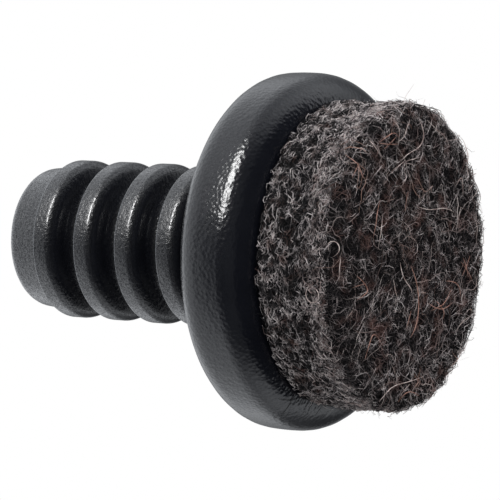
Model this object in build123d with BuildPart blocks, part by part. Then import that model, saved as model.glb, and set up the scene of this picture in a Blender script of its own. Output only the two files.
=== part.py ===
from build123d import *
import os
from math import radians, tan

# Finned push-in glide for a chair leg. It stands on its felt pad with the finned stem pointing up.
# The stem's axis is the Z axis, and the face of the felt that meets the floor is at Z = 0.

# Felt pad. It is glued a little off the stem's axis.
pad_diameter = 21.0
pad_thickness = 6.0
pad_edge_bevel = 0.8
pad_off_centre = 0.8

# Adhesive film between the pad and the flange
adhesive_thickness = 0.15
adhesive_margin = 1.2

# Round flange that the leg stands on
flange_diameter = 25.0
flange_thickness = 6.0
flange_pad_side_radius = 2.3
flange_leg_side_radius = 2.1

# Stem, from the flange to the end of its nose
core_diameter = 7.4
neck_length = 4.1
nose_root_diameter = 10.6
nose_end_diameter = 10.0
nose_length = 2.9
nose_bevel = 0.6

# Fins round the stem. Their edge on the nose side is crisp, and the one on the flange side is eased.
fin_count = 4
fin_diameter = 11.5
fin_width = 1.65
fin_pitch = 3.55
fin_draft_angle = 3.0
fin_bevel = 0.45

# Radii and levels that follow from those sizes
pad_radius = pad_diameter / 2
flange_radius = flange_diameter / 2
core_radius = core_diameter / 2
nose_root_radius = nose_root_diameter / 2
nose_end_radius = nose_end_diameter / 2
fin_radius = fin_diameter / 2

flange_front = pad_thickness + adhesive_thickness
flange_back = flange_front + flange_thickness
first_fin = flange_back + neck_length
fin_levels = [first_fin + step * fin_pitch for step in range(fin_count)]
nose_start = fin_levels[-1] + fin_width
nose_end = nose_start + nose_length
same_place = 0.001


def flank_lean(radius):
    """How far a fin's flank leans outwards along the stem between the crest and this radius."""
    return (fin_radius - radius) * tan(radians(fin_draft_angle))


def corner(section, radius, level):
    """The corner of a half section that lies at this radius and level."""
    return section.vertices().filter_by(
        lambda vertex: abs(vertex.X - radius) < same_place and abs(vertex.Y - level) < same_place
    )


# One moulding: flange, core, fins and nose, drawn as a half section and turned about the axis
with BuildPart() as glide_body:
    with BuildSketch(Plane.XZ) as section:
        with Locations((0, flange_front)):
            Rectangle(flange_radius, flange_thickness, align=Align.MIN)
        with Locations((0, flange_back)):
            Rectangle(core_radius, nose_start - flange_back, align=Align.MIN)
        with BuildLine():
            Polyline(
                (0, nose_start),
                (nose_root_radius, nose_start),
                (nose_end_radius, nose_end),
                (0, nose_end),
                close=True,
            )
        make_face()
        for level in fin_levels:
            with BuildLine():
                Polyline(
                    (0, level),
                    (core_radius, level - flank_lean(core_radius)),
                    (fin_radius, level),
                    (fin_radius, level + fin_width),
                    (core_radius, level + fin_width + flank_lean(core_radius)),
                    (0, level + fin_width),
                    close=True,
                )
            make_face()

        fillet(corner(section, flange_radius, flange_front), flange_pad_side_radius)
        fillet(corner(section, flange_radius, flange_back), flange_leg_side_radius)
        chamfer(corner(section, nose_end_radius, nose_end), nose_bevel)
        for level in fin_levels:
            chamfer(corner(section, fin_radius, level), fin_bevel)
    revolve(axis=Axis.Z)

glide_body.part.label = "glide_body"

# Thick felt disc, punched from sheet. The edge that meets the floor is worn, the one at the seat is square.
with BuildPart() as felt_pad:
    with BuildSketch(Plane.XY):
        with Locations((0, -pad_off_centre)):
            Circle(pad_radius)
    extrude(amount=pad_thickness)
    chamfer(felt_pad.faces().sort_by(Axis.Z)[0].edges(), pad_edge_bevel)

felt_pad.part.label = "felt_pad"

# Thin adhesive film that holds the pad, a little smaller than the pad so that it stays hidden
with BuildPart() as adhesive_disc:
    with BuildSketch(Plane.XY.offset(pad_thickness)):
        with Locations((0, -pad_off_centre)):
            Circle(pad_radius - adhesive_margin)
    extrude(amount=adhesive_thickness)

adhesive_disc.part.label = "adhesive_disc"

os.makedirs("parts", exist_ok=True)
export_step(glide_body.part, "parts/glide_body.step")
export_step(felt_pad.part, "parts/felt_pad.step")
export_step(adhesive_disc.part, "parts/adhesive_disc.step")
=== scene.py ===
from math import cos, pi, radians, sin, tan

import bmesh
import bpy
from mathutils import Matrix, Vector, noise


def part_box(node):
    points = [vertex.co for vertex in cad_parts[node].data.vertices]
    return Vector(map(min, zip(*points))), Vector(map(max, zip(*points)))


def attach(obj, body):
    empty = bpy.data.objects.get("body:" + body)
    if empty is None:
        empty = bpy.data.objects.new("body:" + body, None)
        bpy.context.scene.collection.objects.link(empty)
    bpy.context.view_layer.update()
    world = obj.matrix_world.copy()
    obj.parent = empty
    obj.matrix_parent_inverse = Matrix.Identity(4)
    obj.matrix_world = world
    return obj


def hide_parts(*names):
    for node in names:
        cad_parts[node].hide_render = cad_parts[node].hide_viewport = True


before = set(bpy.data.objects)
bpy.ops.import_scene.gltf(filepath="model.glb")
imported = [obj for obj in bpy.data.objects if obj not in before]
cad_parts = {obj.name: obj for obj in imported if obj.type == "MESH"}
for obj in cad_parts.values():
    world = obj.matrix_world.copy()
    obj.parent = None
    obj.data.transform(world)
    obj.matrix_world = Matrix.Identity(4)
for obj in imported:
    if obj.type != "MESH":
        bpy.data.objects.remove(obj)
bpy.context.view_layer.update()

# Moulding: the flange, the core, its four fins and the nose.
# The real piece is one shot of black plastic, so it has no joints, and every edge is eased by the mould.
# It is turned from its half section, with the small radii that the mould leaves. Sizes are in millimetres.
MM = 0.001
on_axis = 1e-6
body_low, body_high = (corner[2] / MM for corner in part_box("glide_body"))
flange_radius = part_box("glide_body")[1][0] / MM
flange_thickness = 6.0
flange_top = body_low + flange_thickness
flange_pad_side_radius = 2.3
flange_leg_side_radius = 2.1
flange_crown = radians(3)
flange_crown_radius = 15.0
core_radius = 3.7
core_root_radius = 0.8
nose_root_radius = 5.3
nose_end_radius = 5.0
nose_end_easing = 0.95
nose_root_easing = 0.3
nose_length = 2.9
fin_radius = 5.75
fin_width = 1.65
fin_pitch = 3.55
fin_count = 4
fin_lean = tan(radians(3.0))
fin_crisp_edge_radius = 0.13
fin_round_edge_radius = 0.7
turn_steps = 256


def eased_outline(corners, arc_step=radians(11)):
    """Points of a half section, from its corners given as radius, height and easing radius."""
    points = []
    for index, (radius, height, easing) in enumerate(corners):
        here = Vector((radius, height))
        if easing == 0:
            points.append(here)
            continue
        before = (Vector(corners[index - 1][:2]) - here).normalized()
        after = (Vector(corners[index + 1][:2]) - here).normalized()
        half_angle = before.angle(after) / 2
        centre = here + (before + after).normalized() * easing / sin(half_angle)
        start = here + before * easing / tan(half_angle) - centre
        end = here + after * easing / tan(half_angle) - centre
        turn = start.angle_signed(end)
        steps = max(3, round(abs(turn) / arc_step))
        for step in range(steps + 1):
            spoke = start.copy()
            spoke.rotate(Matrix.Rotation(-turn * step / steps, 2))
            points.append(centre + spoke)
    return points


def turned_mesh(name, outline, steps):
    """A closed mesh made by turning an outline that starts and ends on the axis."""
    shell = bmesh.new()
    rings = []
    for radius, height in outline:
        around = 1 if radius < on_axis else steps
        rings.append([
            shell.verts.new((
                radius * MM * cos(2 * pi * step / steps),
                radius * MM * sin(2 * pi * step / steps),
                height * MM,
            ))
            for step in range(around)
        ])
    for low, high in zip(rings, rings[1:]):
        for step in range(steps):
            after = (step + 1) % steps
            low_side = [low[step % len(low)], low[after % len(low)]]
            high_side = [high[after % len(high)], high[step % len(high)]]
            shell.faces.new(list(dict.fromkeys(low_side + high_side)))
    bmesh.ops.recalc_face_normals(shell, faces=shell.faces)
    for face in shell.faces:
        face.smooth = True
    mesh = bpy.data.meshes.new(name)
    shell.to_mesh(mesh)
    shell.free()
    return mesh


flange_middle = (body_low + flange_top) / 2
crowned_radius = flange_radius + flange_crown_radius * (1 / cos(flange_crown) - 1)
corner_radius = crowned_radius - flange_thickness / 2 * tan(flange_crown)
body_corners = [
    (0, body_low, 0),
    (corner_radius, body_low, flange_pad_side_radius),
    (crowned_radius, flange_middle, flange_crown_radius),
    (corner_radius, flange_top, flange_leg_side_radius),
    (core_radius, flange_top, core_root_radius),
]
first_fin = body_high - nose_length - fin_width - (fin_count - 1) * fin_pitch
root_lean = (fin_radius - core_radius) * fin_lean
for fin in range(fin_count):
    fin_low = first_fin + fin * fin_pitch
    fin_high = fin_low + fin_width
    body_corners += [
        (core_radius, fin_low - root_lean, core_root_radius),
        (fin_radius, fin_low, fin_round_edge_radius),
        (fin_radius, fin_high, fin_crisp_edge_radius),
    ]
    if fin < fin_count - 1:
        body_corners.append((core_radius, fin_high + root_lean, core_root_radius))
body_corners += [
    (nose_root_radius, fin_high + (fin_radius - nose_root_radius) * fin_lean, nose_root_easing),
    (nose_end_radius, body_high, nose_end_easing),
    (0, body_high, 0),
]
body_mesh = turned_mesh("moulded_body", eased_outline(body_corners), turn_steps)


class Wire:
    """One socket of a node tree, so that node maths reads as plain maths."""

    def __init__(self, tree, socket=None):
        self.tree = tree
        self.socket = socket

    def node(self, kind, inputs=None, output=0, **settings):
        """Add a node. Its settings are set first, then its inputs by name or number."""
        node = self.tree.nodes.new(kind)
        stops = settings.pop("stops", None)
        for setting, value in settings.items():
            setattr(node, setting, value)
        if stops:
            ramp = node.color_ramp
            ramp.interpolation = "LINEAR"
            while len(ramp.elements) < len(stops):
                ramp.elements.new(0.5)
            for element, (position, colour) in zip(ramp.elements, stops):
                element.position = position
                element.color = (*colour, 1)
        for place, value in (inputs or {}).items():
            if isinstance(value, Wire):
                self.tree.links.new(value.socket, node.inputs[place])
            else:
                node.inputs[place].default_value = value
        return Wire(self.tree, node.outputs[output] if node.outputs else None)

    def other(self, output):
        """Another output of this socket's node."""
        return Wire(self.tree, self.socket.node.outputs[output])

    def maths(self, operation, *values):
        return self.node("ShaderNodeMath", dict(enumerate(values)), operation=operation)

    def vector_maths(self, operation, *values):
        return self.node("ShaderNodeVectorMath", dict(enumerate(values)), operation=operation)

    def __add__(self, other):
        return self.maths("ADD", self, other)

    def __radd__(self, other):
        return self.maths("ADD", other, self)

    def __sub__(self, other):
        return self.maths("SUBTRACT", self, other)

    def __rsub__(self, other):
        return self.maths("SUBTRACT", other, self)

    def __mul__(self, other):
        return self.maths("MULTIPLY", self, other)

    def __rmul__(self, other):
        return self.maths("MULTIPLY", other, self)

    def __truediv__(self, other):
        return self.maths("DIVIDE", self, other)

    def __pow__(self, other):
        return self.maths("POWER", self, other)

    def between(self, low, high):
        """0 below low, 1 above high, and smooth between them."""
        return self.node(
            "ShaderNodeMapRange", {0: self, 1: low, 2: high}, interpolation_type="SMOOTHSTEP", clamp=True
        )

    def mix(self, first, second):
        """The first colour where this is 0 and the second where it is 1."""
        return self.node("ShaderNodeMix", {0: self, 6: first, 7: second}, output=2, data_type="RGBA")


def new_material(name):
    """A material with an empty tree, a wire to start from, and its object coordinates in metres."""
    material = bpy.data.materials.new(name)
    material.use_nodes = True
    tree = material.node_tree
    tree.nodes.clear()
    start = Wire(tree)
    place = start.node("ShaderNodeTexCoord", output="Object")
    return material, start, place


def finish_material(start, **sockets):
    """Put one Principled shader on the output, with each named socket set or linked."""
    shader = start.node("ShaderNodeBsdfPrincipled", sockets)
    start.node("ShaderNodeOutputMaterial", {"Surface": shader})


# The moulding's finish: the flange has a fine pebbled skin, and the stem is grainier and glints more.
stem_blend = 0.5
relief_depth = 0.05
deep_black = (0.0060, 0.0066, 0.0100, 1)
soft_black = (0.0085, 0.0092, 0.0130, 1)
# The pale grey and the four sizes under it paint a highlight along the fins' crisp edges.
painted_edge_highlight_grey = (0.11, 0.115, 0.125, 1)
edge_highlight_width = 0.16
edge_highlight_width_ease = 0.10
edge_highlight_reach = 0.45
edge_highlight_reach_ease = 0.20

plastic, start, place = new_material("black_satin_plastic")
height = start.node("ShaderNodeSeparateXYZ", {0: place}, output="Z")
on_stem = height.between((flange_top - stem_blend) * MM, (flange_top + stem_blend) * MM)


def flange_or_stem(on_flange, on_fins):
    """One value on the flange and another on the stem, blended where they meet."""
    return on_flange + on_stem * (on_fins - on_flange)


grain = start.node("ShaderNodeTexNoise", {"Vector": place, "Scale": 10500, "Detail": 1, "Roughness": 0.5})
pebble = start.node(
    "ShaderNodeTexVoronoi",
    {"Vector": place, "Scale": 3600, "Smoothness": 0.5, "Randomness": 1.0},
    feature="SMOOTH_F1",
)
flow = start.node("ShaderNodeTexNoise", {"Vector": place, "Scale": 260, "Detail": 2, "Roughness": 0.5})
relief = grain * flange_or_stem(0.12, 0.60) + pebble * flange_or_stem(0.5, 0.6) + flow * 0.8
bump = start.node("ShaderNodeBump", {"Height": relief, "Distance": relief_depth * MM, "Strength": 1.0})

# Faces that look up towards the leg are dull. Elsewhere the grain catches the light in small glints.
normal_rise = start.node("ShaderNodeSeparateXYZ", {0: place.other("Normal")}, output="Z")
dull_land = normal_rise.between(0.75, 0.95)
glint = grain.between(0.40, 0.60) * flange_or_stem(0.2125, 0.9775)

# The crisp edge of each fin has a painted highlight: pale grey in places, where the edge catches the light.
fin_step = (height / MM - first_fin) / fin_pitch
along_fin = fin_step.maths("FRACT", fin_step) * fin_pitch
round_axis = place.vector_maths("MULTIPLY", place, (1, 1, 0))
radius = start.node("ShaderNodeVectorMath", {0: round_axis}, output="Value", operation="LENGTH") / MM
edge_start = fin_width - edge_highlight_width
crest_start = fin_radius - edge_highlight_reach
near_edge = along_fin.between(edge_start, edge_start + edge_highlight_width_ease)
near_crest = radius.between(crest_start, crest_start + edge_highlight_reach_ease)
# Painted highlight: pale grey on the crisp fin edges, broken up by the flow noise.
painted_edge_highlight = near_edge * near_crest * on_stem * flow.between(0.2, 0.6)
colour = flow.between(0.3, 0.7).mix(deep_black, soft_black)
finish_material(
    start,
    **{
        "Base Color": painted_edge_highlight.mix(colour, painted_edge_highlight_grey),
        "Roughness": flange_or_stem(0.15, 0.27) + grain * 0.08 + dull_land * 0.55,
        "Specular IOR Level": 0.45,
        "Coat Weight": glint * (1 - dull_land),
        "Coat Roughness": 0.14,
        "Normal": bump,
    },
)

moulding = bpy.data.objects.new("moulded_body", body_mesh)
bpy.context.scene.collection.objects.link(moulding)
body_mesh.materials.append(plastic)
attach(moulding, "root")
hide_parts("glide_body")

# Adhesive film: a thin double-sided disc that holds the felt. It is hidden between the pad and the flange.
# It is cut from sheet and is matt and dark. Its CAD solid already has the right shape.
film_dark = (0.02, 0.02, 0.02, 1)
film_pale = (0.05, 0.048, 0.045, 1)
film, start, place = new_material("dark_adhesive_film")
mottle = start.node("ShaderNodeTexNoise", {"Vector": place, "Scale": 2500, "Detail": 2})
finish_material(
    start,
    **{
        "Base Color": mottle.mix(film_dark, film_pale),
        "Roughness": 0.7 + mottle * 0.2,
    },
)
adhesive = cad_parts["adhesive_disc"]
adhesive.data.materials.clear()
adhesive.data.materials.append(film)

# Felt pad: a thick disc punched from dark mixed wool felt, glued a little off the stem's axis.
# Its cut side is loose and its floor face is denser, and its edge is worn round. The side's wool
# is paler, partly its own tone and partly painted light from the key, and the face's wool is darker, partly
# painted shade.
# The solid core here is dark and lumpy, and the wool fibres that lie on it follow below.
pad_low_corner, pad_high_corner = (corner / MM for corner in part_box("felt_pad"))
pad_centre = (pad_low_corner + pad_high_corner) / 2
pad_height = pad_high_corner.z
fibre_room = 0.15
pad_radius = pad_high_corner.x - fibre_room
pad_face_level = fibre_room
pad_floor_edge_radius = 0.8
pad_seat_edge_radius = 0.35
pad_row_step = 0.4
lump_size = 0.9
lump_depth = 0.22
lump_sink = 0.05
lump_falloff = 0.8
lump_step = 2.0
lump_layers = 3
smooth_seat_height = 0.3
felt_black = (0.006, 0.006, 0.007, 1)
felt_cold = (0.012, 0.012, 0.014, 1)
felt_warm = (0.030, 0.018, 0.015, 1)
felt_relief_depth = 0.15

pad_outline = eased_outline(
    [
        (0, pad_face_level, 0),
        (pad_radius, pad_face_level, pad_floor_edge_radius),
        (pad_radius, pad_height, pad_seat_edge_radius),
        (0, pad_height, 0),
    ]
)

# Rows are added between the outline's points, so that there is a mesh for the lumps to move.
pad_rows = pad_outline[:1]
for point in pad_outline[1:]:
    gap = point - pad_rows[-1]
    pieces = max(1, round(gap.length / pad_row_step))
    pad_rows += [pad_rows[-1] + gap * (piece + 1) / pieces for piece in range(pieces)]
pad_mesh = turned_mesh("felt_core", pad_rows, turn_steps)
pad_mesh.transform(Matrix.Translation(pad_centre.xy.to_3d() * MM))
outward_directions = [vertex.normal.copy() for vertex in pad_mesh.vertices]
for vertex, outward in zip(pad_mesh.vertices, outward_directions):
    if vertex.co.z < (pad_height - smooth_seat_height) * MM:
        lump = noise.fractal(vertex.co / (lump_size * MM), lump_falloff, lump_step, lump_layers)
        vertex.co += outward * (lump * lump_depth - lump_sink) * MM

felt, start, place = new_material("dark_wool_felt")
mottle = start.node("ShaderNodeTexNoise", {"Vector": place, "Scale": 3200, "Detail": 4, "Roughness": 0.7})
patches = start.node("ShaderNodeTexNoise", {"Vector": place, "Scale": 420, "Detail": 2})
patch_colour = patches.between(0.42, 0.6).mix(felt_cold, felt_warm)
bump = start.node("ShaderNodeBump", {"Height": mottle, "Distance": felt_relief_depth * MM, "Strength": 1.0})
finish_material(
    start,
    **{
        "Base Color": mottle.between(0.35, 0.75).mix(felt_black, patch_colour),
        "Roughness": 0.95,
        "Specular IOR Level": 0.1,
        "Normal": bump,
    },
)
pad_mesh.materials.append(felt)
pad = bpy.data.objects.new("felt_core", pad_mesh)
bpy.context.scene.collection.objects.link(pad)
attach(pad, "root")
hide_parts("felt_pad")


# Wool fibres: the loose hairs of the felt, which lie over each other on the core in every direction.
# They are wool of many tones with a few warm ones, and a needle loom has tangled them into the pad.
# One tree of nodes lays each layer, from the roots that it scatters on the pad's outside.
def wool_tree():
    """The node tree that lays curling fibres on a surface, each with its own tone, length and girth.

    They lie round the pad, or along Y where Crossways is 1, and are turned at random by up to Spread.
    Curl bends them in waves and Cling holds them to the surface. Bow lifts their middle, Loose End lifts
    their tip and Sink presses them in.
    """
    tree = bpy.data.node_groups.new("wool_fibres", "GeometryNodeTree")
    for name, kind in (
        ("Geometry", "NodeSocketGeometry"),
        ("Lowest Root", "NodeSocketFloat"),
        ("Highest Root", "NodeSocketFloat"),
        ("Roots per Square Metre", "NodeSocketFloat"),
        ("Spread", "NodeSocketFloat"),
        ("Crossways", "NodeSocketFloat"),
        ("Length", "NodeSocketFloat"),
        ("Thickness", "NodeSocketFloat"),
        ("Curl", "NodeSocketFloat"),
        ("Waves", "NodeSocketFloat"),
        ("Sink", "NodeSocketFloat"),
        ("Bow", "NodeSocketFloat"),
        ("Loose End", "NodeSocketFloat"),
        ("Cling", "NodeSocketFloat"),
        ("Points", "NodeSocketInt"),
        ("Seed", "NodeSocketInt"),
        ("Material", "NodeSocketMaterial"),
    ):
        tree.interface.new_socket(name=name, in_out="INPUT", socket_type=kind)
    tree.interface.new_socket(name="Geometry", in_out="OUTPUT", socket_type="NodeSocketGeometry")
    start = Wire(tree)
    given = start.node("NodeGroupInput", output="Geometry")
    shortest_share, longest_share = 0.4, 1.6
    thinnest_share, thickest_share = 0.5, 1.3
    strand_count = 900
    end_taper = 0.7

    def random(low, high, offset):
        """A random value for each fibre, with a seed of its own for each use."""
        seed = given.other("Seed") * 10 + offset
        return start.node("FunctionNodeRandomValue", {2: low, 3: high, 8: seed}, output=1, data_type="FLOAT")

    place = start.node("GeometryNodeInputPosition")
    level = start.node("ShaderNodeSeparateXYZ", {0: place}, output="Z")
    in_band = level.maths("GREATER_THAN", level, given.other("Lowest Root")) * level.maths(
        "LESS_THAN", level, given.other("Highest Root")
    )
    roots = start.node(
        "GeometryNodeDistributePointsOnFaces",
        {
            "Mesh": given,
            "Selection": in_band,
            "Density": given.other("Roots per Square Metre"),
            "Seed": given.other("Seed"),
        },
    )
    round_the_pad = place.vector_maths("CROSS_PRODUCT", (0, 0, 1), place)
    round_the_pad = round_the_pad.vector_maths("NORMALIZE", round_the_pad)
    lie = start.node(
        "ShaderNodeMix",
        {0: given.other("Crossways"), 4: round_the_pad, 5: (0, 1, 0)},
        output=1,
        data_type="VECTOR",
    )
    stance = start.node(
        "FunctionNodeAlignRotationToVector",
        {"Rotation": roots.other("Rotation"), "Vector": lie},
        axis="X",
        pivot_axis="Z",
    )
    spread = given.other("Spread")
    turn = start.node("ShaderNodeCombineXYZ", {0: 0.0, 1: 0.0, 2: random(0 - spread, spread, 1)})
    stance = start.node(
        "FunctionNodeRotateRotation",
        {0: stance, 1: start.node("FunctionNodeEulerToRotation", {0: turn})},
        rotation_space="LOCAL",
    )
    straight = start.node("GeometryNodeCurvePrimitiveLine", {"Start": (-0.5, 0, 0), "End": (0.5, 0, 0)})
    line = start.node("GeometryNodeResampleCurve", {"Curve": straight, "Count": given.other("Points")})
    length = given.other("Length") * random(shortest_share, longest_share, 2)
    size = start.node("ShaderNodeCombineXYZ", {0: length, 1: 1.0, 2: 1.0})
    fibres = start.node(
        "GeometryNodeInstanceOnPoints", {"Points": roots, "Instance": line, "Rotation": stance, "Scale": size}
    )
    for name, low, high, offset in (
        ("tone", 0, 1, 3),
        ("strand", 0, strand_count, 4),
        ("rise", 0, 1, 5),
        ("loose", 0, 1, 6),
        ("girth", thinnest_share, thickest_share, 7),
    ):
        fibres = start.node(
            "GeometryNodeStoreNamedAttribute",
            {"Geometry": fibres, "Name": name, "Value": random(low, high, offset)},
            data_type="FLOAT",
            domain="INSTANCE",
        )
    fibres = start.node("GeometryNodeRealizeInstances", {"Geometry": fibres})

    def stored(name):
        """A value that each fibre was given as an attribute."""
        return start.node("GeometryNodeInputNamedAttribute", {"Name": name}, data_type="FLOAT")

    along = start.node("GeometryNodeSplineParameter", output="Factor")
    wave = along * given.other("Waves")
    noise_place = start.node("ShaderNodeCombineXYZ", {0: wave, 1: stored("strand"), 2: 0.0})
    sway = start.node("ShaderNodeTexNoise", {"Vector": noise_place, "Scale": 1, "Detail": 1}, output="Color")
    sway = sway.vector_maths("SUBTRACT", sway, (0.5, 0.5, 0.5))
    sway = start.node("ShaderNodeVectorMath", {0: sway, "Scale": given.other("Curl")}, operation="SCALE")
    swayed = place.vector_maths("ADD", place, sway)
    nearest = start.node(
        "GeometryNodeProximity", {"Geometry": given, "Sample Position": swayed}, target_element="FACES"
    )
    outward = start.node(
        "GeometryNodeSampleNearestSurface",
        {"Mesh": given, 1: start.node("GeometryNodeInputNormal"), "Sample Position": swayed},
        data_type="FLOAT_VECTOR",
    )
    height = (
        given.other("Bow") * stored("rise") * along * (1 - along) * 4
        + given.other("Loose End") * stored("loose") ** 3 * along * along
        - given.other("Sink")
    )
    lifted = start.node("ShaderNodeVectorMath", {0: outward, "Scale": height}, operation="SCALE")
    hugged = nearest.vector_maths("ADD", nearest, lifted)
    free = swayed.vector_maths("ADD", swayed, lifted)
    laid = start.node(
        "ShaderNodeMix", {0: given.other("Cling"), 4: free, 5: hugged}, output=1, data_type="VECTOR"
    )
    fibres = start.node("GeometryNodeSetPosition", {"Geometry": fibres, "Position": laid})
    middle = 2 * along - 1
    girth = given.other("Thickness") * 0.5 * stored("girth") * (1 - end_taper * middle * middle)
    fibres = start.node(
        "GeometryNodeCurveToMesh",
        {
            "Curve": fibres,
            "Profile Curve": start.node("GeometryNodeCurvePrimitiveCircle", {"Resolution": 3, "Radius": 1.0}),
            "Scale": girth,
            "Fill Caps": True,
        },
    )
    fibres = start.node("GeometryNodeSetShadeSmooth", {"Geometry": fibres})
    fibres = start.node("GeometryNodeRealizeInstances", {"Geometry": fibres})
    fibres = start.node("GeometryNodeSetMaterial", {"Geometry": fibres, "Material": given.other("Material")})
    start.node("NodeGroupOutput", {"Geometry": fibres})
    return tree


wool = wool_tree()


def wool_layer(name, material, **inputs):
    """One layer of fibres on the pad's outside, turned into a plain mesh."""
    layer = bpy.data.objects.new(name, pad_mesh.copy())
    bpy.context.scene.collection.objects.link(layer)
    modifier = layer.modifiers.new("wool", "NODES")
    modifier.node_group = wool
    inputs["Material"] = material
    for item in wool.interface.items_tree:
        if item.in_out == "INPUT" and item.name in inputs:
            modifier[item.identifier] = inputs[item.name]
    depsgraph = bpy.context.evaluated_depsgraph_get()
    mesh = bpy.data.meshes.new_from_object(layer.evaluated_get(depsgraph))
    layer.modifiers.remove(modifier)
    layer.data = mesh
    mesh.name = name
    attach(layer, "root")


rim_full_level = 1.8
rim_end_level = 3.2
warm_patch_ratio = 0.6


def wool_material(
    name,
    stops,
    patch_size,
    patch_pull,
    warm_colour,
    warm_share,
    side_pull=0.0,
    lean_pull=0.0,
    rim_pull=0.0,
):
    """Wool whose fibres take their tone from the stops, paler and darker in patches, with warm patches.

    The other pulls make it paler towards the pad's left and right, towards +Y and towards its floor edge.
    """
    material, start, place = new_material(name)
    patch_scale = 1 / (patch_size * MM)
    tone = start.node("ShaderNodeAttribute", output="Fac", attribute_name="tone")
    patch = start.node("ShaderNodeTexNoise", {"Vector": place, "Scale": patch_scale, "Detail": 2})
    warm_scale = patch_scale * warm_patch_ratio
    warm = start.node("ShaderNodeTexNoise", {"Vector": place, "Scale": warm_scale, "Detail": 1}, output="Fac")
    position = start.node("ShaderNodeSeparateXYZ", {0: place})
    across = position / (pad_radius * MM)
    lean = position.other("Y") / (pad_radius * MM)
    near_rim = 1 - position.other("Z").between(rim_full_level * MM, rim_end_level * MM)
    patch_change = (patch - 0.5) * patch_pull
    side_change = (across * across - 0.5) * side_pull
    pulled = tone + patch_change + side_change + lean * lean_pull + near_rim * rim_pull
    colour = start.node("ShaderNodeValToRGB", {0: pulled}, stops=stops)
    warmed = (warm.between(0.5, 0.68) * tone.between(0.2, 0.7) * warm_share).mix(colour, warm_colour)
    finish_material(start, **{"Base Color": warmed, "Roughness": 0.75, "Specular IOR Level": 0.25})
    return material


# Paler than the face's wool: partly the felt's own tone, partly painted light where the key falls on the
# side.
side_wool = wool_material(
    "side_wool",
    [
        (0.00, (0.010, 0.009, 0.010)),
        (0.38, (0.034, 0.030, 0.031)),
        (0.54, (0.175, 0.154, 0.151)),
        (0.72, (0.500, 0.447, 0.437)),
        (0.95, (0.880, 0.790, 0.760)),
    ],
    patch_size=0.6,
    patch_pull=2.3,
    warm_colour=(0.20, 0.110, 0.085, 1),
    warm_share=0.55,
    side_pull=0.22,
    rim_pull=0.24,
)
rim_wool = wool_material(
    "rim_wool",
    [
        (0.00, (0.050, 0.042, 0.042)),
        (0.35, (0.200, 0.165, 0.160)),
        (0.70, (0.560, 0.470, 0.445)),
        (1.00, (0.950, 0.830, 0.790)),
    ],
    patch_size=0.8,
    patch_pull=1.9,
    warm_colour=(0.34, 0.20, 0.17, 1),
    warm_share=0.5,
    side_pull=0.1,
)
# Darker than the side's wool: partly the felt's own tone, partly painted shade on the face, which the key
# light doesn't reach.
face_wool = wool_material(
    "face_wool",
    [
        (0.00, (0.006, 0.005, 0.006)),
        (0.55, (0.024, 0.020, 0.021)),
        (0.70, (0.120, 0.101, 0.099)),
        (0.86, (0.480, 0.410, 0.395)),
        (1.00, (0.950, 0.860, 0.830)),
    ],
    patch_size=1.1,
    patch_pull=1.0,
    warm_colour=(0.33, 0.175, 0.145, 1),
    warm_share=0.6,
    side_pull=0.1,
    lean_pull=0.05,
)
hair_wool = wool_material(
    "hair_wool",
    [
        (0.00, (0.100, 0.060, 0.050)),
        (0.30, (0.320, 0.240, 0.220)),
        (0.70, (0.560, 0.460, 0.420)),
        (1.00, (0.800, 0.700, 0.660)),
    ],
    patch_size=2.0,
    patch_pull=0.4,
    warm_colour=(0.55, 0.25, 0.15, 1),
    warm_share=0.6,
)
below_pad = -1.0
face_edge_level = 0.8
rim_root_levels = (0.85, 2.2)
seat_root_level = pad_height - 0.2
stray_root_level = 0.1

# The cut side of the disc, a little paler near the floor edge
wool_layer(
    "side_tangle", side_wool, **{
        "Lowest Root": face_edge_level * MM, "Highest Root": seat_root_level * MM,
        "Roots per Square Metre": 25e6, "Spread": 0.75, "Length": 0.95 * MM, "Thickness": 0.068 * MM,
        "Curl": 1.4 * MM, "Waves": 2.8, "Sink": 0.03 * MM, "Bow": 0.3 * MM, "Loose End": 0.12 * MM,
        "Cling": 0.8, "Points": 7, "Seed": 1,
    }
)
# The pale fluff of the worn edge between the side and the floor face
wool_layer(
    "rim_fluff", rim_wool, **{
        "Lowest Root": rim_root_levels[0] * MM, "Highest Root": rim_root_levels[1] * MM,
        "Roots per Square Metre": 12e6, "Spread": 0.9, "Length": 0.9 * MM, "Thickness": 0.065 * MM,
        "Curl": 1.2 * MM, "Waves": 2.6, "Sink": 0.0, "Bow": 0.3 * MM, "Loose End": 0.12 * MM,
        "Cling": 0.8, "Points": 7, "Seed": 3,
    }
)
# The fine dark mat of the floor face, whose fibres lie mostly along Y
wool_layer(
    "face_mat", face_wool, **{
        "Lowest Root": below_pad * MM, "Highest Root": face_edge_level * MM,
        "Roots per Square Metre": 27e6, "Spread": 1.15, "Crossways": 1.0, "Length": 2.0 * MM,
        "Thickness": 0.042 * MM, "Curl": 2.2 * MM, "Waves": 2.3, "Sink": 0.05 * MM, "Bow": 0.3 * MM,
        "Loose End": 0.2 * MM, "Cling": 0.55, "Points": 7, "Seed": 2,
    }
)
# A few longer, paler hairs on top of the mat
wool_layer(
    "long_hairs", hair_wool, **{
        "Lowest Root": below_pad * MM, "Highest Root": face_edge_level * MM,
        "Roots per Square Metre": 0.55e6, "Spread": pi, "Length": 2.8 * MM, "Thickness": 0.05 * MM,
        "Curl": 2.6 * MM, "Waves": 1.3, "Sink": -0.12 * MM, "Bow": 0.3 * MM, "Loose End": 0.3 * MM,
        "Cling": 0.9, "Points": 12, "Seed": 4,
    }
)
# Loose ends that stand off the side, the edge and the hollows of the face
wool_layer(
    "stray_ends", face_wool, **{
        "Lowest Root": stray_root_level * MM, "Highest Root": seat_root_level * MM,
        "Roots per Square Metre": 1.6e6, "Spread": pi, "Length": 0.9 * MM, "Thickness": 0.03 * MM,
        "Curl": 1.6 * MM, "Waves": 2.6, "Sink": 0.0, "Bow": 0.3 * MM, "Loose End": 0.9 * MM,
        "Cling": 0.6, "Points": 8, "Seed": 5,
    }
)
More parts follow.
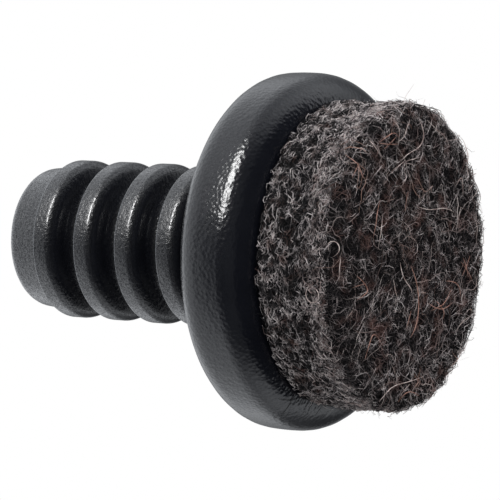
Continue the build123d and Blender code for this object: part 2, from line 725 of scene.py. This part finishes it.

# Laid hairs: the long single hairs that stand out on the pad's face, the few that hang off its edges, and two
# painted fibre shadows drawn as dark hairs on the flange.
# They are coarse wool or goat hair among the fine wool. Each one is drawn through points of the 500 x 500
# picture, and the camera's view carries those points to a level or to the pad's side.

# The camera's axes, place in millimetres and lens, fitted to the picture
view_right = Vector((0.05531, 0.53878, -0.84063))
view_ahead = Vector((-0.00384, 0.84203, 0.53942))
view_down = view_ahead.cross(view_right)
camera_place = Vector((0.712, -180.382, -101.89)) * MM
film_width = 36
lens_length = 218.2
picture_width = 500

side_lift_ratio = 1.4
hair_end_girth = 0.35


def carried(point, level, lies_on_pad):
    """Where a picture point lies in space, on this level or, beyond the pad's edge, on the pad's side."""
    across, down = (value - picture_width / 2 for value in point)
    ray = view_ahead * lens_length / film_width * picture_width + view_right * across + view_down * down
    on_level = camera_place + ray * (level * MM - camera_place.z) / ray.z
    if not lies_on_pad or (on_level - pad_centre * MM).xy.length <= pad_radius * MM:
        return on_level

    # Beyond the edge, the view meets the pad's side, as an upright cylinder just outside its wool.
    from_axis = (camera_place - pad_centre * MM).xy
    side_radius = (pad_radius - side_lift_ratio * level) * MM
    half_sum = from_axis.dot(ray.xy) / ray.xy.length_squared
    reach = half_sum**2 - (from_axis.length_squared - side_radius**2) / ray.xy.length_squared
    return camera_place + ray * (-half_sum - reach**0.5) if reach > 0 else on_level


def laid_hairs(name, material, hairs, level, thickness, end_level, lies_on_pad=True):
    """Hairs through picture points, turned into a plain mesh. Their thin ends lie at a height of their own.

    Heights are in millimetres. The face of the pad looks down, so a hair below 0 lies on top of its wool.
    """
    curve = bpy.data.curves.new(name, "CURVE")
    curve.dimensions = "3D"
    curve.resolution_u = 5
    curve.bevel_depth = thickness / 2 * MM
    curve.bevel_resolution = 0
    curve.use_fill_caps = True
    for points in hairs.values():
        spline = curve.splines.new("NURBS")
        spline.points.add(len(points) - 1)
        for index, (point, picture_point) in enumerate(zip(spline.points, points)):
            at_end = index in (0, len(points) - 1)
            point.co = (*carried(picture_point, end_level if at_end else level, lies_on_pad), 1)
            point.radius = hair_end_girth if at_end else 1
        spline.order_u = min(3, len(points))
        spline.use_endpoint_u = True
    drawn = bpy.data.objects.new(name, curve)
    bpy.context.scene.collection.objects.link(drawn)
    mesh = bpy.data.meshes.new_from_object(drawn.evaluated_get(bpy.context.evaluated_depsgraph_get()))
    bpy.data.objects.remove(drawn)
    mesh.name = name
    mesh.materials.clear()
    mesh.materials.append(material)
    laid = bpy.data.objects.new(name, mesh)
    bpy.context.scene.collection.objects.link(laid)
    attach(laid, "root")


def hair_material(name, dark, pale):
    """One coarse hair colour, paler in places along the hair."""
    material, start, place = new_material(name)
    streaks = start.node("ShaderNodeTexNoise", {"Vector": place, "Scale": 1800, "Detail": 1})
    colour = streaks.between(0.35, 0.65).mix((*dark, 1), (*pale, 1))
    finish_material(start, **{"Base Color": colour, "Roughness": 0.6, "Specular IOR Level": 0.3})
    return material


pale_hair = hair_material("pale_hair", (0.40, 0.29, 0.26), (0.85, 0.72, 0.66))
rust_hair = hair_material("rust_hair", (0.32, 0.15, 0.105), (0.66, 0.38, 0.30))
# This dark hair colour also paints two fibre shadows on the flange.
dark_hair_and_shadow = hair_material("dark_hair_and_shadow", (0.008, 0.007, 0.008), (0.02, 0.018, 0.018))
laid_hairs(
    "pale_face_hairs",
    pale_hair,
    {
        "long_curve": [(419, 119), (423, 127), (424, 139), (419, 148), (411, 152), (404, 157), (400, 163)],
        "star_arm_right": [(403, 163), (409, 160), (415, 159), (419, 157)],
        "star_arm_fork": [(403, 163), (410, 163), (415, 166)],
        "star_arm_down": [(402, 162), (405, 168), (405, 174)],
        "star_arm_left": [(405, 160), (399, 166), (393, 170), (389, 175)],
        "star_tail": [(405, 173), (407, 178), (403, 184), (400, 188)],
        "fine_line": [(427, 120), (436, 129), (447, 138), (449, 146)],
        "top_fork_left": [(392, 120), (398, 124), (400, 133), (398, 146)],
        "top_fork_right": [(410, 119), (407, 127), (404, 139), (396, 143)],
        "short_straight": [(369, 140), (373, 144), (378, 151), (382, 158)],
        "long_straight": [(383, 213), (382, 224), (380, 238), (378, 250)],
        "right_crook": [(455, 187), (458, 182), (462, 176), (463, 186), (463, 195)],
        "level_wave": [(415, 206), (424, 209), (432, 210), (441, 208), (449, 209), (454, 212)],
        "right_straight": [(461, 207), (458, 219), (456, 232)],
        "low_hook": [(472, 315), (464, 320), (459, 326), (456, 332)],
        "bottom_branch": [(379, 402), (386, 393), (393, 386), (404, 383), (415, 380), (424, 376)],
        "bottom_twig": [(399, 398), (403, 391), (410, 384)],
        "ring_curl": [(329, 251), (327, 245), (331, 241), (337, 242), (340, 248), (338, 254), (333, 257)],
        "rim_ring": [(309, 285), (305, 292), (307, 300), (313, 304), (319, 299), (318, 290), (312, 286)],
        "left_upright": [(341, 257), (339, 268), (339, 282)],
        "stem_blob": [(400, 262), (401, 269), (404, 279), (410, 287), (412, 292)],
    },
    level=-0.6,
    thickness=0.06,
    end_level=-0.15,
)
laid_hairs(
    "rust_face_hairs",
    rust_hair,
    {
        "pink_upright": [(411, 266), (415, 276), (418, 290), (419, 306), (417, 322), (413, 334), (410, 338)],
        "triangle_top": [(380, 142), (386, 137), (396, 131), (399, 138)],
        "triangle_low": [(379, 143), (388, 145), (398, 144)],
        "triangle_inner": [(384, 149), (391, 143), (396, 137)],
        "left_star_one": [(345, 155), (352, 159), (359, 165), (366, 170)],
        "left_star_two": [(359, 163), (356, 170), (352, 178)],
        "left_star_three": [(357, 163), (361, 170), (363, 178)],
        "right_tangle_one": [(431, 311), (438, 307), (445, 304), (451, 290)],
        "right_tangle_two": [(436, 301), (441, 306), (445, 313), (443, 319)],
        "right_tangle_three": [(428, 303), (436, 309), (446, 309), (452, 303)],
        "right_arch": [(446, 281), (454, 281), (460, 287), (461, 298)],
        "edge_tuft_one": [(463, 258), (467, 266), (468, 277)],
        "edge_tuft_two": [(470, 256), (466, 268), (462, 276)],
        "edge_tuft_three": [(461, 262), (468, 270), (472, 280)],
        "left_loop": [(357, 276), (363, 281), (369, 291), (362, 297), (357, 300)],
        "left_twig": [(352, 288), (359, 285), (366, 284)],
        "low_peak": [(365, 359), (369, 345), (374, 330), (381, 342)],
        "low_arch": [(398, 402), (404, 393), (413, 391), (419, 396)],
        "middle_strand": [(380, 200), (377, 212), (376, 226), (373, 238)],
        "centre_strand": [(408, 192), (406, 201), (405, 211)],
        "low_strand": [(411, 311), (409, 320), (406, 329)],
    },
    level=-0.6,
    thickness=0.065,
    end_level=-0.15,
)
# The first two are a stray dark fibre and its fork on the flange. The two short ones beside them are painted
# fibre shadows, drawn as dark hairs.
laid_hairs(
    "dark_hairs_and_fibre_shadows",
    dark_hair_and_shadow,
    {
        "low_branch": [(296, 392), (291, 401), (287, 409), (279, 417)],
        "low_branch_fork": [(292, 399), (285, 401), (279, 399)],
        "fibre_shadow_middle": [(316, 397), (311, 405), (307, 414)],
        "fibre_shadow_right": [(325, 402), (319, 410), (315, 416)],
    },
    level=5.2,
    thickness=0.07,
    end_level=5.4,
    lies_on_pad=False,
)
laid_hairs(
    "loose_top_hairs",
    pale_hair,
    {
        "tall_hair": [(402, 106), (405, 97), (410, 90), (414, 84)],
        "leaning_hair": [(420, 108), (424, 104), (425, 99)],
    },
    level=-0.1,
    thickness=0.03,
    end_level=0.0,
    lies_on_pad=False,
)

# Studio: a plain pale floor that the glide stands on, white surroundings and one soft key lamp.
# The camera is below the floor, as the photograph shows the felt from underneath, so the floor's lower
# side is clear. The floor's reach and the lamp's sizes and distance are in metres.
floor_reach = 1.2
floor_mesh = bpy.data.meshes.new("studio_floor")
corner_sides = ((-1, -1), (1, -1), (1, 1), (-1, 1))
floor_corners = [(side_x * floor_reach, side_y * floor_reach, 0) for side_x, side_y in corner_sides]
floor_mesh.from_pydata(floor_corners, [], [(0, 1, 2, 3)])
floor = bpy.data.objects.new("studio_floor", floor_mesh)
bpy.context.scene.collection.objects.link(floor)
paper = bpy.data.materials.new("pale_paper")
paper.use_nodes = True
paper.node_tree.nodes.clear()
start = Wire(paper.node_tree)
below = start.node("ShaderNodeNewGeometry", output="Backfacing")
paper_shader = start.node("ShaderNodeBsdfDiffuse", {"Color": (0.9, 0.9, 0.9, 1)})
clear = start.node("ShaderNodeBsdfTransparent")
paper_or_clear = start.node("ShaderNodeMixShader", {0: below, 1: paper_shader, 2: clear})
start.node("ShaderNodeOutputMaterial", {"Surface": paper_or_clear})
floor_mesh.materials.append(paper)
floor.visible_shadow = False
floor.visible_diffuse = False
floor.visible_glossy = False

world = bpy.data.worlds.new("white_studio")
bpy.context.scene.world = world
world.use_nodes = True
world.node_tree.nodes.clear()
start = Wire(world.node_tree)
rays = start.node("ShaderNodeLightPath", output="Is Camera Ray")
mirrored = rays.maths("MAXIMUM", rays.other("Is Glossy Ray"), rays.other("Is Transmission Ray"))
toward = start.node("ShaderNodeTexCoord", output="Generated")
rise = start.node("ShaderNodeSeparateXYZ", {0: toward}, output="Z")


def facing(direction):
    """How far a ray points this way: 1 straight towards it, 0 square to it and -1 straight away."""
    return start.node(
        "ShaderNodeVectorMath", {0: toward, 1: direction}, output="Value", operation="DOT_PRODUCT"
    )


# What the gloss mirrors: pale walls over a dark table, darker round the camera and behind the glide
high_wall = 1.05 - 0.3 * rise.between(-0.2, 0.0) + 0.5 * rise.between(0.1, 0.45)
above_table = rise.between(-0.62, -0.50) * high_wall
clear_of_camera = 0.12 + 0.88 * facing(view_ahead).between(-0.6, 0.0)
dark_back = facing((view_ahead + 0.35 * view_right).normalized())
dark_corner = facing((0.65 * view_ahead + 0.65 * view_down + 0.35 * view_right).normalized())
clear_of_back = 1 - 0.8 * dark_back.between(0.6, 0.92)
clear_of_corner = 1 - 0.75 * dark_corner.between(0.90, 0.97)
mirrored_room = 0.01 + above_table * clear_of_camera * clear_of_back * clear_of_corner

# What lights matt surfaces: an even room, brighter from the picture's upper right and from the lamp's side
key_low_end = (-0.70 * view_right - 0.35 * view_down - 0.62 * view_ahead).normalized()
key_high_end = (-0.38 * view_right - 0.85 * view_down - 0.34 * view_ahead).normalized()
key_direction = (key_low_end + key_high_end).normalized()
fill_direction = (0.7 * -view_down - 0.5 * view_ahead + 0.5 * view_right).normalized()
fill_light = 0.9 * facing(fill_direction).between(0.2, 1.0)
soft_room = 0.30 + fill_light + 0.5 * facing(key_direction).between(0.3, 1.0)

room = start.node("ShaderNodeMix", {0: mirrored, 2: soft_room, 3: mirrored_room})
tint = rays.mix((0.93, 0.96, 1.0, 1), (1, 1, 1, 1))
backdrop = start.node("ShaderNodeBackground", {"Color": tint, "Strength": rays + (1 - rays) * room})
start.node("ShaderNodeOutputWorld", {"Surface": backdrop})

# The key lamp is a soft box that only the gloss sees. It draws the streak on the flange.
key_distance = 0.5
key_width = 0.34
key_height = 0.10
key_power = 3.0
key_target = Vector((0, 0, flange_top * MM))
key_data = bpy.data.lights.new("key_lamp", "AREA")
key_data.shape = "RECTANGLE"
key_data.size = key_width
key_data.size_y = key_height
key_data.energy = key_power
key = bpy.data.objects.new("key_lamp", key_data)
key_rise = key_high_end - key_low_end
key_across = key_direction.cross(key_rise.cross(key_direction)).normalized()
key_turn = Matrix((-key_across, key_direction.cross(-key_across), key_direction)).transposed()
key.matrix_world = Matrix.Translation(key_target + key_direction * key_distance) @ key_turn.to_4x4()
key.visible_diffuse = False
bpy.context.scene.collection.objects.link(key)

camera_data = bpy.data.cameras.new("photo_camera")
camera_data.sensor_width = film_width
camera_data.lens = lens_length
camera_data.clip_start = 0.01
camera = bpy.data.objects.new("photo_camera", camera_data)
turn = Matrix((view_right, -view_down, -view_ahead)).transposed()
camera.matrix_world = Matrix.Translation(camera_place) @ turn.to_4x4()
bpy.context.scene.collection.objects.link(camera)
bpy.context.scene.camera = camera
bpy.context.scene.view_settings.view_transform = "Standard"
